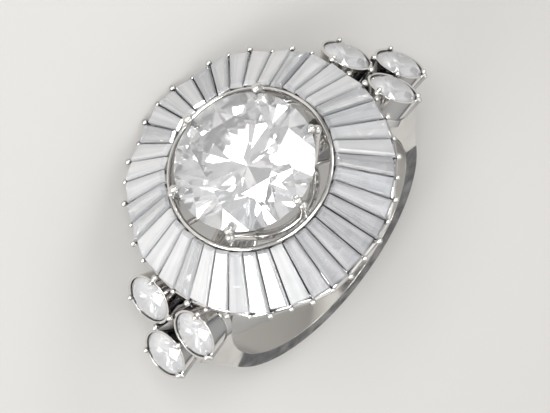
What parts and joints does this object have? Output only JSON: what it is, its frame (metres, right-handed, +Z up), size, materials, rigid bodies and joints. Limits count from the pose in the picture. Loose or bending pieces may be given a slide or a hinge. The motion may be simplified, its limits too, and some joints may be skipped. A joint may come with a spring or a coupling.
{
  "type": "ballerina cluster ring",
  "caption": "Ballerina cluster ring: round centre stone in claws, pleated skirt of tapered baguettes, trefoils of round stones on the shoulders, plain domed shank.",
  "frame": {"origin": "middle of the finger hole, on its axis", "axes": "ring lying on its side as it rests by itself: +Z up, the head towards -Y and a little up, the finger hole's axis in the YZ plane, tilted from +Z towards +Y, and +X across the head from one trefoil to the other"},
  "size_m": [0.026, 0.0255, 0.017],
  "materials": {
    "mount_metal": "polished white precious metal",
    "centre_stone": "clear, brilliant cut and polished",
    "shoulder_stone": "clear, brilliant cut and polished",
    "baguette_stone": "clear, step cut and polished"
  },
  "bodies": {
    "root": {"ring_mount": "mount_metal", "centre_stone": "centre_stone", "shoulder_stone_1": "shoulder_stone", "shoulder_stone_2": "shoulder_stone", "shoulder_stone_3": "shoulder_stone", "shoulder_stone_4": "shoulder_stone", "shoulder_stone_5": "shoulder_stone", "shoulder_stone_6": "shoulder_stone", "baguette_1": "baguette_stone", "baguette_2": "baguette_stone", "baguette_3": "baguette_stone", "baguette_4": "baguette_stone", "baguette_5": "baguette_stone", "baguette_6": "baguette_stone", "baguette_7": "baguette_stone", "baguette_8": "baguette_stone", "baguette_9": "baguette_stone", "baguette_10": "baguette_stone", "baguette_11": "baguette_stone", "baguette_12": "baguette_stone", "baguette_13": "baguette_stone", "baguette_14": "baguette_stone", "baguette_15": "baguette_stone", "baguette_16": "baguette_stone", "baguette_17": "baguette_stone", "baguette_18": "baguette_stone", "baguette_19": "baguette_stone", "baguette_20": "baguette_stone", "baguette_21": "baguette_stone", "baguette_22": "baguette_stone", "baguette_23": "baguette_stone", "baguette_24": "baguette_stone", "baguette_25": "baguette_stone", "baguette_26": "baguette_stone", "baguette_27": "baguette_stone", "baguette_28": "baguette_stone", "baguette_29": "baguette_stone", "baguette_30": "baguette_stone", "baguette_31": "baguette_stone", "baguette_32": "baguette_stone", "baguette_33": "baguette_stone", "baguette_34": "baguette_stone", "baguette_35": "baguette_stone", "baguette_36": "baguette_stone", "baguette_37": "baguette_stone", "baguette_38": "baguette_stone", "baguette_39": "baguette_stone", "baguette_40": "baguette_stone"}
  },
  "joints": []
}
